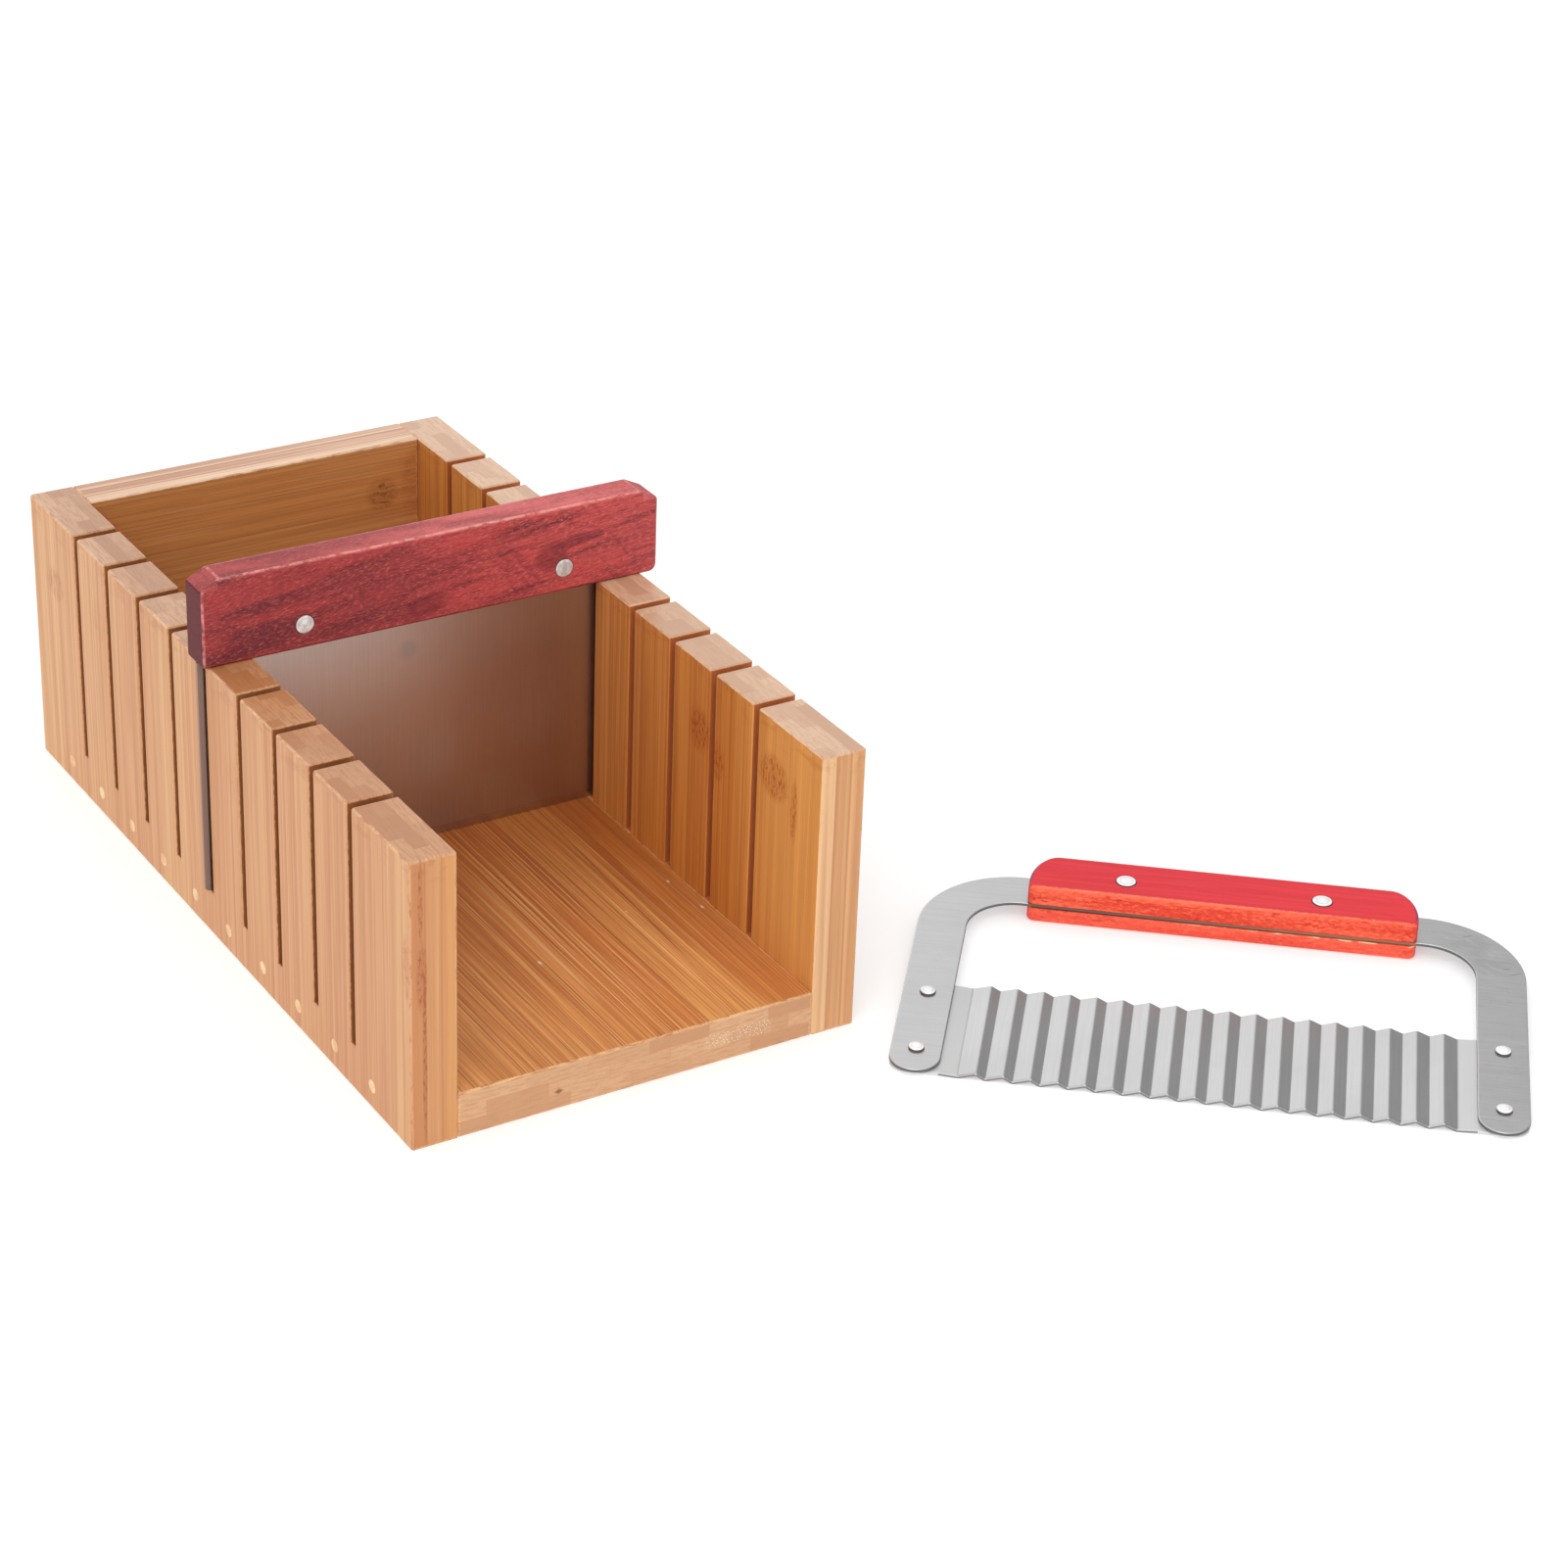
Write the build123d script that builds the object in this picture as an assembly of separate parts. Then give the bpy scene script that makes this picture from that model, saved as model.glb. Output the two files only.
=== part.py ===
from build123d import *
from math import atan2, copysign, cos, degrees, sin
import os

# Soap cutter set: a slotted bamboo box, a straight cutter hung in its middle slots,
# and a wavy cutter that lies beside it. Sizes are in millimetres.
# +X runs across the box, +Y from its open front to its back board, +Z up.
# The origin is the middle of the box's underside.

# Box boards
box_width = 150.0
box_length = 280.0
box_height = 95.0
wall_thickness = 15.0
floor_thickness = 15.0
back_thickness = 15.0
board_easing = 0.4

# Saw slots in the side walls: each runs from the top down to the floor board
slot_count = 9
slot_pitch = 25.4
slot_kerf = 3.2
slot_lip = 0.5

# Dowel pins that join each wall to the edge of the floor board
dowel_diameter = 4.5
dowel_depth = 18.0
dowel_fit = 0.04
dowel_end_gap = 0.5
dowel_sides = 16

# Straight cutter: a flat blade in a wooden bar that lies across the wall tops
blade_width = 152.4
blade_thickness = 1.0
blade_shift = -0.5
blade_floor_gap = 0.2
blade_back_gap = 0.2
blade_corner = 1.0
bevel_height = 3.0
bevel_land = 0.3
tang_height = 16.0
tang_inset = 5.0
groove_fit = 0.05
groove_end_wall = 3.0
bar_length = 157.5
bar_height = 29.0
bar_thickness = 12.0
bar_shift = 1.7
bar_facet_run = 6.5
bar_facet_drop = 3.2
bar_left_foot_radius = 1.2
bar_right_foot_radius = 2.6
bar_corner_softening = 1.8
bar_easing = 0.9

# Flush rivets of the straight cutter
bar_rivet_spacing = 89.8
bar_rivet_height = 8.2
bar_rivet_head = 6.3
bar_rivet_shank = 4.0
bar_rivet_sink = 1.8
bar_rivet_rim = 0.1
bar_rivet_crown = 0.2

# All rivets: the play in their holes, the sides that stand for a round, and a crown's slope
rivet_fit = 0.04
head_sides = 24
shank_sides = 12
crown_slope_share = 0.4

# Wavy cutter's bow: one flat strip bent round in its own plane
bow_width = 191.6
bow_height = 115.0
bow_strip = 15.6
bow_thickness = 1.2
bow_bend_radius = 32.0

# Wavy cutter's blade: a corrugated sheet with a flat tab at each end, under the legs.
# The crests lean: each rises over a share of its pitch, less so from left to right.
wave_pitch = 8.25
wave_count = 18
wave_depth = 1.6
wave_fold_radius = 0.9
wave_fold_chords = 3
crest_left_share = 0.66
crest_right_share = 0.5
sheet_thickness = 0.7
sheet_foot = 1.3
sheet_height = 48.2
sheet_side_inset = 0.3
sheet_corner = 5.0
tab_rise = 0.45
edge_bevel = 1.05
edge_land = 0.15

# Wavy cutter's handle: a wooden bar with a saw kerf, a little under its middle, for the bow
grip_length = 124.0
grip_height = 20.5
grip_upper = 7.4
grip_lower = 6.0
grip_shift = -0.4
grip_lip = 0.5
grip_kerf_fit = 0.15
grip_kerf_depth_spare = 0.4
grip_corner_run = 9.0
grip_corner_drop = 15.0
grip_foot_radius = 2.4
grip_easing = 1.0

# Flush rivets of the wavy cutter's handle
grip_rivet_spacing = 62.6
grip_rivet_rise = 0.6
grip_rivet_head = 6.5
grip_rivet_shank = 4.0
grip_rivet_sink = 1.6
grip_rivet_rim = 0.1
grip_rivet_crown = 0.2
grip_tail_rim = 0.05
grip_tail_crown = 0.1

# Dome rivets that join the wavy blade to the legs
leg_rivet_low = 11.8
leg_rivet_high = 42.8
leg_rivet_head = 5.0
leg_rivet_shank = 3.0
leg_rivet_rim = 0.3
leg_rivet_crown = 0.9
tail_rivet_rim = 0.1
tail_rivet_crown = 0.4

# Where the wavy cutter lies: the middle of its cutting edge, and its turn about the vertical
wavy_place_x = 142.6
wavy_place_y = -229.8
wavy_turn = -39.4

# One overrun serves every cut
overrun = 1.0

# Worked out from the sizes above
inner_width = box_width - 2 * wall_thickness
floor_length = box_length - back_thickness
slot_depth = box_height - floor_thickness
slot_places = [slot_pitch * (n - (slot_count - 1) / 2) for n in range(slot_count)]
dowel_places = [slot_pitch * (n - slot_count / 2) for n in range(slot_count + 1)]
blade_slot_place = slot_places[slot_count // 2]
blade_place = blade_slot_place + slot_kerf / 2 - blade_back_gap - blade_thickness / 2
groove_width = blade_thickness + 2 * groove_fit
leg_middle = bow_width / 2 - bow_strip / 2
grip_bottom = bow_height - bow_strip - grip_lip
grip_rivet_line = bow_height - bow_strip / 2 + grip_rivet_rise
grip_thickness = grip_upper + grip_lower
grip_middle = (grip_upper - grip_lower) / 2
leg_stack = bow_thickness + sheet_thickness
leg_stack_middle = bow_thickness / 2 - leg_stack / 2
sheet_tab_level = -bow_thickness / 2 - sheet_thickness / 2
sheet_valley_level = sheet_tab_level - tab_rise


def board(width, length, height):
    """A plain board with eased edges, standing on z = 0 and centred on the origin."""
    plain = Pos(0, 0, height / 2) * Box(width, length, height)
    return chamfer(plain.edges(), board_easing)


def bar(radius, low, high, sides):
    """A round bar about Z, as a prism with many sides."""
    return Pos(0, 0, low) * extrude(RegularPolygon(radius, sides), high - low)


def dowel_row(side, radius, start, depth):
    """A row of pins, or of their holes, along X at half the floor board's thickness."""
    pins = []
    for place in dowel_places:
        pin = bar(radius, 0, depth, dowel_sides)
        pins.append(Pos(side * start, place, floor_thickness / 2) * Rot(Y=-side * 90) * pin)
    return pins


def wall(side):
    """One side wall: nine saw slots from the top, ten dowel holes near the bottom."""
    outline = Pos(0, box_height / 2) * Rectangle(box_length, box_height)
    for place in slot_places:
        slot = Rectangle(slot_kerf, slot_depth + overrun, align=(Align.CENTER, Align.MIN))
        outline -= Pos(place, box_height - slot_depth) * slot
    mouths = outline.vertices().group_by(Axis.Y)[-1]
    outline = chamfer(mouths, slot_lip)
    plank = extrude(Plane.YZ * outline, wall_thickness / 2, both=True)
    plank = chamfer(plank.faces().filter_by(Axis.X).edges(), board_easing)
    plank = Pos(side * (box_width - wall_thickness) / 2, 0, 0) * plank
    bore = dowel_diameter / 2 + dowel_fit
    start = box_width / 2 + overrun
    return plank - dowel_row(side, bore, start, wall_thickness + 2 * overrun)


def floor_board():
    """The board between the walls, with blind dowel holes in both long edges."""
    plank = board(inner_width, floor_length, floor_thickness)
    plank = Pos(0, (floor_length - box_length) / 2, 0) * plank
    bore = dowel_diameter / 2 + dowel_fit
    for side in (-1, 1):
        plank -= dowel_row(side, bore, box_width / 2, wall_thickness + dowel_depth + dowel_end_gap)
    return plank


def back_board():
    """The board that closes the back, between the walls and behind the floor board."""
    return Pos(0, (box_length - back_thickness) / 2, 0) * board(inner_width, back_thickness, box_height)


def wall_dowels(side):
    """Ten pins, flush with the wall's outer face."""
    return Compound(dowel_row(side, dowel_diameter / 2, box_width / 2, wall_thickness + dowel_depth))


def rivet_head(radius, sink, rim, crown):
    """One rivet head about Z, its face at z = 0: sunk below it, with a rim and a low crown above."""
    head = bar(radius, -sink, rim + crown, head_sides)
    top = head.faces().sort_by(Axis.Z)[-1]
    return chamfer(top.edges(), radius * crown_slope_share, crown, reference=top)


def rivet(stack, shank, head, sink, rim, crown, tail_rim, tail_crown):
    """A rivet about Z through a stack whose faces lie at z = stack / 2 and z = -stack / 2."""
    body = bar(shank / 2, -stack / 2, stack / 2, shank_sides)
    top = Pos(0, 0, stack / 2) * rivet_head(head / 2, sink, rim, crown)
    tail = Pos(0, 0, -stack / 2) * Rot(X=180) * rivet_head(head / 2, sink, tail_rim, tail_crown)
    return body + top + tail


def rivet_bores(stack, shank, head, sink):
    """The hole that a rivet fills, with a seat for each sunk head."""
    hole = bar(shank / 2 + rivet_fit, -stack / 2, stack / 2, shank_sides)
    seat = bar(head / 2 + rivet_fit, -sink, overrun, head_sides)
    return hole + Pos(0, 0, stack / 2) * seat + Pos(0, 0, -stack / 2) * Rot(X=180) * seat


def shank_bore(shank, stack):
    """The plain hole that a rivet's shank needs in the metal."""
    return bar(shank / 2 + rivet_fit, -stack / 2 - overrun, stack / 2 + overrun, shank_sides)


def straight_rivet_places():
    """The two rivet axes of the straight cutter, along Y through bar and blade."""
    places = []
    for side in (-1, 1):
        x = bar_shift + side * bar_rivet_spacing / 2
        places.append(Pos(x, blade_place, box_height + bar_rivet_height) * Rot(X=90))
    return places


def straight_blade():
    """The plate: full width below the bar, a narrower tang in its groove, a ground lower edge."""
    bottom = floor_thickness + blade_floor_gap
    plate_height = box_height - bottom
    plate = Pos(0, bottom + plate_height / 2) * Rectangle(blade_width, plate_height)
    plate = chamfer(plate.vertices().group_by(Axis.Y)[0], blade_corner)
    tang = Rectangle(blade_width - 2 * tang_inset, tang_height, align=(Align.CENTER, Align.MIN))
    plate += Pos(0, box_height) * tang
    body = extrude(Plane.XZ * plate, blade_thickness / 2, both=True)
    half = blade_thickness / 2
    land = bevel_land / 2
    top = box_height + tang_height
    shoulder = bottom + bevel_height
    section = make_face(Polyline((-half, top), (-half, shoulder), (-land, bottom),
                                 (land, bottom), (half, shoulder), (half, top), close=True))
    ground = extrude(Plane.YZ * section, blade_width, both=True)
    body = Pos(blade_shift, blade_place, 0) * (body & ground)
    for place in straight_rivet_places():
        body -= place * shank_bore(bar_rivet_shank, blade_thickness)
    return body


def straight_handle():
    """The wooden bar: cut-off upper corners, round lower ones and a closed groove from beneath."""
    half = bar_length / 2
    outline = make_face(Polyline((-half, 0), (half, 0), (half, bar_height - bar_facet_drop),
                                 (half - bar_facet_run, bar_height), (bar_facet_run - half, bar_height),
                                 (-half, bar_height - bar_facet_drop), close=True))
    for end, radius in ((-1, bar_right_foot_radius), (0, bar_left_foot_radius)):
        foot = outline.vertices().group_by(Axis.Y)[0].sort_by(Axis.X)[end]
        outline = fillet(foot, radius)
    shoulders = [v for v in outline.vertices() if v.Y > bar_height / 2]
    outline = fillet(shoulders, bar_corner_softening)
    wood = extrude(Plane.XZ * outline, bar_thickness / 2, both=True)
    wood = chamfer(wood.faces().filter_by(Axis.Y).edges(), bar_easing)
    wood = Pos(bar_shift, blade_place, box_height) * wood
    groove_length = bar_length - 2 * groove_end_wall
    groove_depth = tang_height + groove_fit
    groove = Box(groove_length, groove_width, groove_depth + overrun,
                 align=(Align.CENTER, Align.CENTER, Align.MAX))
    wood -= Pos(bar_shift, blade_place, box_height + groove_depth) * groove
    for place in straight_rivet_places():
        wood -= place * rivet_bores(bar_thickness, bar_rivet_shank, bar_rivet_head, bar_rivet_sink)
    return wood


def straight_rivet(place):
    """One flush rivet of the straight cutter."""
    return place * rivet(bar_thickness, bar_rivet_shank, bar_rivet_head, bar_rivet_sink,
                         bar_rivet_rim, bar_rivet_crown, bar_rivet_rim, bar_rivet_crown)


# The wavy cutter is drawn flat: its legs point towards -Y and end at y = 0, and z = 0 is
# the middle of the bow's strip. wavy_lying() puts it on the table.


def wavy_lying():
    """The wavy cutter lies on the valleys' lower ends and on the lower edge of its handle.

    The handle's edge is eased, so the tilt is the one at which both corners touch the table.
    """
    valley_z = sheet_valley_level - sheet_thickness / 2
    run = grip_bottom + grip_easing - sheet_foot
    rise = -grip_lower - valley_z
    tilt = -atan2(rise, run)
    height = -sheet_foot * sin(tilt) - valley_z * cos(tilt)
    return Pos(wavy_place_x, wavy_place_y, height) * Rot(Z=wavy_turn) * Rot(X=degrees(tilt))


def leg_rivet_places():
    """The four rivets in the legs, each under the name of its own place."""
    places = {}
    for side, side_name in ((-1, "left"), (1, "right")):
        for height, height_name in ((leg_rivet_low, "lower"), (leg_rivet_high, "upper")):
            places[side_name + "_" + height_name] = Pos(side * leg_middle, height, leg_stack_middle)
    return places


def grip_rivet_places():
    """The two rivets through handle and bow, at the middle of the handle's thickness."""
    reach = grip_rivet_spacing / 2
    return [Pos(grip_shift + side * reach, grip_rivet_line, grip_middle) for side in (-1, 1)]


def wavy_frame():
    """The bow: two legs with round ends, joined by two bends and a bar."""
    outer = bow_width / 2
    inner = outer - bow_strip
    bend_x = outer - bow_bend_radius
    bend_y = bow_height - bow_bend_radius
    end = bow_strip / 2
    half = make_face([
        Line((0, bow_height), (bend_x, bow_height)),
        RadiusArc((bend_x, bow_height), (outer, bend_y), bow_bend_radius),
        Line((outer, bend_y), (outer, end)),
        ThreePointArc((outer, end), (outer - end, 0), (inner, end)),
        Line((inner, end), (inner, bend_y)),
        RadiusArc((inner, bend_y), (bend_x, bow_height - bow_strip), bow_strip - bow_bend_radius),
        Line((bend_x, bow_height - bow_strip), (0, bow_height - bow_strip)),
        Line((0, bow_height - bow_strip), (0, bow_height)),
    ])
    strip = extrude(half + mirror(half, Plane.YZ), bow_thickness / 2, both=True)
    for place in leg_rivet_places().values():
        strip -= place * shank_bore(leg_rivet_shank, leg_stack)
    for place in grip_rivet_places():
        strip -= place * shank_bore(grip_rivet_shank, grip_thickness)
    return strip


def wave_middle():
    """The corrugated sheet's middle line from tab to tab, with its valleys at zero height."""
    half_span = wave_pitch * wave_count / 2
    tab_end = bow_width / 2 - sheet_side_inset
    tab_fold = bow_width / 2 - bow_strip
    points = [(-tab_end, tab_rise), (-tab_fold, tab_rise)]
    for n in range(wave_count):
        valley = n * wave_pitch - half_span
        along_share = (n + 0.5) / wave_count
        rise_share = crest_left_share + (crest_right_share - crest_left_share) * along_share
        points.append((valley, 0))
        points.append((valley + rise_share * wave_pitch, wave_depth))
    points += [(half_span, 0), (tab_fold, tab_rise), (tab_end, tab_rise)]
    return points


def wave_line(shift):
    """The points of the line one distance above the middle line, with a few chords round each fold."""
    points = wave_middle()
    headings = [atan2(z2 - z1, x2 - x1) for (x1, z1), (x2, z2) in zip(points, points[1:])]
    line = [(points[0][0], points[0][1] + shift)]
    for (x, z), before, after in zip(points[1:], headings, headings[1:]):
        turn = after - before
        side = copysign(1, turn)
        facing = before + turn / 2
        centre_reach = side * wave_fold_radius / cos(turn / 2)
        centre_x = x - centre_reach * sin(facing)
        centre_z = z + centre_reach * cos(facing)
        reach = shift - side * wave_fold_radius
        for step in range(wave_fold_chords + 1):
            heading = before + turn * step / wave_fold_chords
            line.append((centre_x - reach * sin(heading), centre_z + reach * cos(heading)))
    line.append((points[-1][0], points[-1][1] + shift))
    return line


def wavy_blade():
    """The corrugated sheet: ground along its edge and then folded, so the bevel follows the waves."""
    upper = wave_line(sheet_thickness / 2)
    lower = wave_line(-sheet_thickness / 2)
    section = make_face(Polyline(*upper, *reversed(lower), close=True))
    sheet = extrude(Plane.XZ.offset(-sheet_foot) * section, -sheet_height)
    lid = tab_rise + wave_depth + overrun
    above = make_face(Polyline(*upper, (upper[-1][0], lid), (upper[0][0], lid), close=True))
    grind = Vector(0, -edge_bevel, edge_land - sheet_thickness)
    sheet -= extrude(Plane.XZ.offset(-sheet_foot - edge_bevel) * above, 2 * grind.length, dir=grind)
    tab_end = bow_width / 2 - sheet_side_inset
    blank = Pos(0, sheet_foot + sheet_height / 2) * Rectangle(2 * tab_end, sheet_height)
    blank = fillet(blank.vertices().group_by(Axis.Y)[0], sheet_corner)
    sheet &= extrude(blank, 2 * wave_depth, both=True)
    sheet = Pos(0, 0, sheet_valley_level) * sheet
    for place in leg_rivet_places().values():
        sheet -= place * shank_bore(leg_rivet_shank, leg_stack)
    return sheet


def wavy_handle():
    """The grip: long curves at its two upper corners, and a kerf that the bow's bar fills."""
    half = grip_length / 2
    top = grip_bottom + grip_height
    shoulder = top - grip_corner_drop
    arc_x = half - grip_corner_run
    radii = (grip_corner_run, grip_corner_drop)
    quarter = 90
    outline = make_face([
        Line((-half, grip_bottom), (half, grip_bottom)),
        Line((half, grip_bottom), (half, shoulder)),
        EllipticalCenterArc((arc_x, shoulder), *radii, 0, arc_size=quarter),
        Line((arc_x, top), (-arc_x, top)),
        EllipticalCenterArc((-arc_x, shoulder), *radii, quarter, arc_size=quarter),
        Line((-half, shoulder), (-half, grip_bottom)),
    ])
    outline = fillet(outline.vertices().group_by(Axis.Y)[0], grip_foot_radius)
    wood = Pos(grip_shift, 0, grip_middle) * extrude(outline, grip_thickness / 2, both=True)
    wood = chamfer(wood.faces().filter_by(Axis.Z).edges(), grip_easing)
    kerf_depth = bow_strip + grip_lip + grip_kerf_depth_spare
    kerf = Box(grip_length + 2 * overrun, kerf_depth + overrun, bow_thickness + 2 * grip_kerf_fit,
               align=(Align.CENTER, Align.MAX, Align.CENTER))
    wood -= Pos(grip_shift, grip_bottom + kerf_depth, 0) * kerf
    for place in grip_rivet_places():
        wood -= place * rivet_bores(grip_thickness, grip_rivet_shank, grip_rivet_head, grip_rivet_sink)
    return wood


def grip_rivet():
    """One flush rivet of the wavy cutter's handle."""
    return rivet(grip_thickness, grip_rivet_shank, grip_rivet_head, grip_rivet_sink,
                 grip_rivet_rim, grip_rivet_crown, grip_tail_rim, grip_tail_crown)


def leg_rivet():
    """One dome rivet through a leg and the tab under it."""
    return rivet(leg_stack, leg_rivet_shank, leg_rivet_head, 0,
                 leg_rivet_rim, leg_rivet_crown, tail_rivet_rim, tail_rivet_crown)


def all_parts():
    """Every sub-part in its place, by name."""
    parts = {
        "left_wall": wall(-1),
        "right_wall": wall(1),
        "floor_board": floor_board(),
        "back_board": back_board(),
        "left_wall_dowels": wall_dowels(-1),
        "right_wall_dowels": wall_dowels(1),
        "straight_blade": straight_blade(),
        "straight_handle": straight_handle(),
    }
    for name, place in zip(("left", "right"), straight_rivet_places()):
        parts["straight_rivet_" + name] = straight_rivet(place)
    lying = wavy_lying()
    parts["wavy_frame"] = lying * wavy_frame()
    parts["wavy_blade"] = lying * wavy_blade()
    parts["wavy_handle"] = lying * wavy_handle()
    for name, place in zip(("left", "right"), grip_rivet_places()):
        parts["wavy_handle_rivet_" + name] = lying * place * grip_rivet()
    for name, place in leg_rivet_places().items():
        parts["wavy_blade_rivet_" + name] = lying * place * leg_rivet()
    return parts


os.makedirs("parts", exist_ok=True)
for name, part in all_parts().items():
    export_step(part, "parts/" + name + ".step")
    size = part.bounding_box()
    print(f"{name:32s} volume {part.volume:10.1f}  z {size.min.Z:8.3f} to {size.max.Z:8.3f}")
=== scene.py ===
# %% [markdown]
# # A soap cutter: slotted bamboo box, straight cutter and wavy cutter
# The solids come ready from the CAD frame, in metres, and every piece here is fitted to them.
# Some solids stay and get a finish. Others are hidden and a finer mesh stands in for them.
# All sizes below are in millimetres, as on a drawing, and are turned into metres where a mesh
# is made.

# %% Load the frame
from functools import partial
from math import atan2, cos, pi, radians, sin

import bmesh
import bpy
from mathutils import Matrix, Vector


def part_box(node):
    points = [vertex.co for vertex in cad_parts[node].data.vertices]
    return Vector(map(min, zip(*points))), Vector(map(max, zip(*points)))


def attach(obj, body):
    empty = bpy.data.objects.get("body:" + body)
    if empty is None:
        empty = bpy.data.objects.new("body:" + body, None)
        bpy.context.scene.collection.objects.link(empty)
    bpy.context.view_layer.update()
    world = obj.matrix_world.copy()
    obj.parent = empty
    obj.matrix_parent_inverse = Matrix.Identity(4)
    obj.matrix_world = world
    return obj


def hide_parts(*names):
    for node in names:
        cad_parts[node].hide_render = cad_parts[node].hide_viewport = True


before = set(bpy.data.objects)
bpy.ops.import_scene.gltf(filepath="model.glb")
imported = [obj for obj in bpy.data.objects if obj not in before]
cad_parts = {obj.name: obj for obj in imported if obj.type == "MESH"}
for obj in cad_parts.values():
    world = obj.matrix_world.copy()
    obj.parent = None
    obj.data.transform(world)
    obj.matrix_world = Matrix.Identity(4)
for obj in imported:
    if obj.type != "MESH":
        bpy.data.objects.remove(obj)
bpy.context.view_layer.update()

mm = 0.001

# %% [markdown]
# ## A small language for nodes
# A material or a geometry tree is a sum written with boxes and wires. Placing each box by hand
# hides the sum, so one class wraps a socket and lets Python's own signs add the Math boxes.
# `1 - mask` works too, because the class has the reflected signs, and `|` and `&` keep the
# greater and the lesser of two values, which joins and crosses masks. Every other box comes from
# `add_node`, which sets the box's own choices first, since some sockets appear only after them.


# %% The socket class and the node maker
def signed(operation, swapped=False):
    """The method for one of Python's signs: a Math node, with its inputs swapped if reflected."""
    def method(self, other):
        first, second = (other, self) if swapped else (self, other)
        return add_node(self.tree, "ShaderNodeMath", {"operation": operation}, {0: first, 1: second})
    return method


class Wire:
    """One output socket. Arithmetic on it adds Math nodes to its own tree."""

    def __init__(self, socket):
        self.socket = socket
        self.tree = socket.id_data

    __add__ = __radd__ = signed("ADD")
    __sub__ = signed("SUBTRACT")
    __rsub__ = signed("SUBTRACT", swapped=True)
    __mul__ = __rmul__ = signed("MULTIPLY")
    __truediv__ = signed("DIVIDE")
    __rtruediv__ = signed("DIVIDE", swapped=True)
    __lt__ = signed("LESS_THAN")
    __gt__ = signed("GREATER_THAN")
    __or__ = signed("MAXIMUM")
    __and__ = signed("MINIMUM")

    def math(self, operation, *others):
        inputs = dict(enumerate((self, *others)))
        return add_node(self.tree, "ShaderNodeMath", {"operation": operation}, inputs)

    def __abs__(self):
        return self.math("ABSOLUTE")

    def between(self, low, high):
        """The value, held within two limits."""
        return (self | low) & high

    def step(self, low, high):
        """0 below low and 1 above high, or the other way round where low is the greater."""
        return add_node(self.tree, "ShaderNodeMapRange", {"interpolation_type": "SMOOTHSTEP"},
                        {"Value": self, "From Min": low, "From Max": high})


def add_node(tree, kind, settings=None, inputs=None, output=0):
    """A node of one kind: its settings first, then the values or wires of its sockets.

    A colour of three numbers is a screen colour, and one of four is linear already.
    """
    node = tree.nodes.new(kind)
    for name, value in (settings or {}).items():
        setattr(node, name, value)
    for name, value in (inputs or {}).items():
        socket = node.inputs[name]
        if isinstance(value, Wire):
            tree.links.new(value.socket, socket)
        elif socket.type == "RGBA" and len(value) == 3:
            socket.default_value = (*linear(value), 1)
        else:
            socket.default_value = value
    return Wire(node.outputs[output]) if node.outputs else node


# %% [markdown]
# ## Words for finishes
# A wood or a steel is described with a few words: where a point is, in millimetres, how a
# noise stretches along the grain, and how colours mix. Colours are written as the 0 to 255
# values that a screen shows, and `add_node` turns them into the values that light adds up in.


# %% Helpers for materials
def linear(colour):
    """The linear values of a screen colour."""
    return tuple(((v / 255 + 0.055) / 1.055) ** 2.4 if v > 10 else v / 255 / 12.92 for v in colour)


def mix(share, first, second, kind="MIX"):
    """Two colours, mixed by a share."""
    return add_node(share.tree, "ShaderNodeMix", {"data_type": "RGBA", "blend_type": kind},
                    {0: share, 6: first, 7: second}, 2)


def coat(base, *coats):
    """A colour under coats, each given as its share and its colour. The last lies on top."""
    for share, patch_colour in coats:
        base = mix(share, base, patch_colour)
    return base


def oval(a, b, middle_a, middle_b, half_a, half_b):
    """0 in the middle of an oval and 1 on its rim."""
    return ((a - middle_a) / half_a).math("POWER", 2.0) + ((b - middle_b) / half_b).math("POWER", 2.0)


def hypotenuse(a, b):
    return (a * a + b * b).math("SQRT")


def to_joint(place, size):
    """How far a place, counted in pieces of one size, is from the nearest joint of two pieces."""
    return size / 2 - abs(place.math("FRACT") - 0.5) * size


def vector(x, y, z):
    tree = next(v.tree for v in (x, y, z) if isinstance(v, Wire))
    return add_node(tree, "ShaderNodeCombineXYZ", None, {0: x, 1: y, 2: z})


def noise(x, y, z, scale=1.0, detail=3.0, roughness=0.5, distortion=0.0):
    """Smooth noise from 0 to 1, about 0.5 in the middle."""
    point = vector(x, y, z)
    return add_node(point.tree, "ShaderNodeTexNoise", None, {
        "Vector": point, "Scale": scale, "Detail": detail, "Roughness": roughness, "Distortion": distortion})


def dice(x, y, z):
    """One random number from 0 to 1 for each whole-number place."""
    point = vector(x, y, z)
    return add_node(point.tree, "ShaderNodeTexWhiteNoise", {"noise_dimensions": "3D"}, {"Vector": point})


def parts(point):
    """A vector's x, y and z as three wires."""
    return [add_node(point.tree, "ShaderNodeSeparateXYZ", None, {0: point}, axis) for axis in range(3)]


def in_millimetres(tree, place=None, turn=None):
    """A point of the piece as three wires. place and turn are those of a piece that lies askew."""
    point = add_node(tree, "ShaderNodeTexCoord", output="Object")
    if place is not None:
        point = add_node(tree, "ShaderNodeMapping", {"vector_type": "TEXTURE"},
                         {"Vector": point, "Location": place, "Rotation": turn})
    return parts(add_node(tree, "ShaderNodeVectorMath", {"operation": "SCALE"}, {0: point, "Scale": 1 / mm}))


def new_finish(name):
    """A fresh material: its tree, and its Principled shader to fill in at the end."""
    material = bpy.data.materials.new(name)
    material.use_nodes = True
    tree = material.node_tree
    shader = next(n for n in tree.nodes if n.type == "BSDF_PRINCIPLED")
    return material, tree, shader


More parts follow.
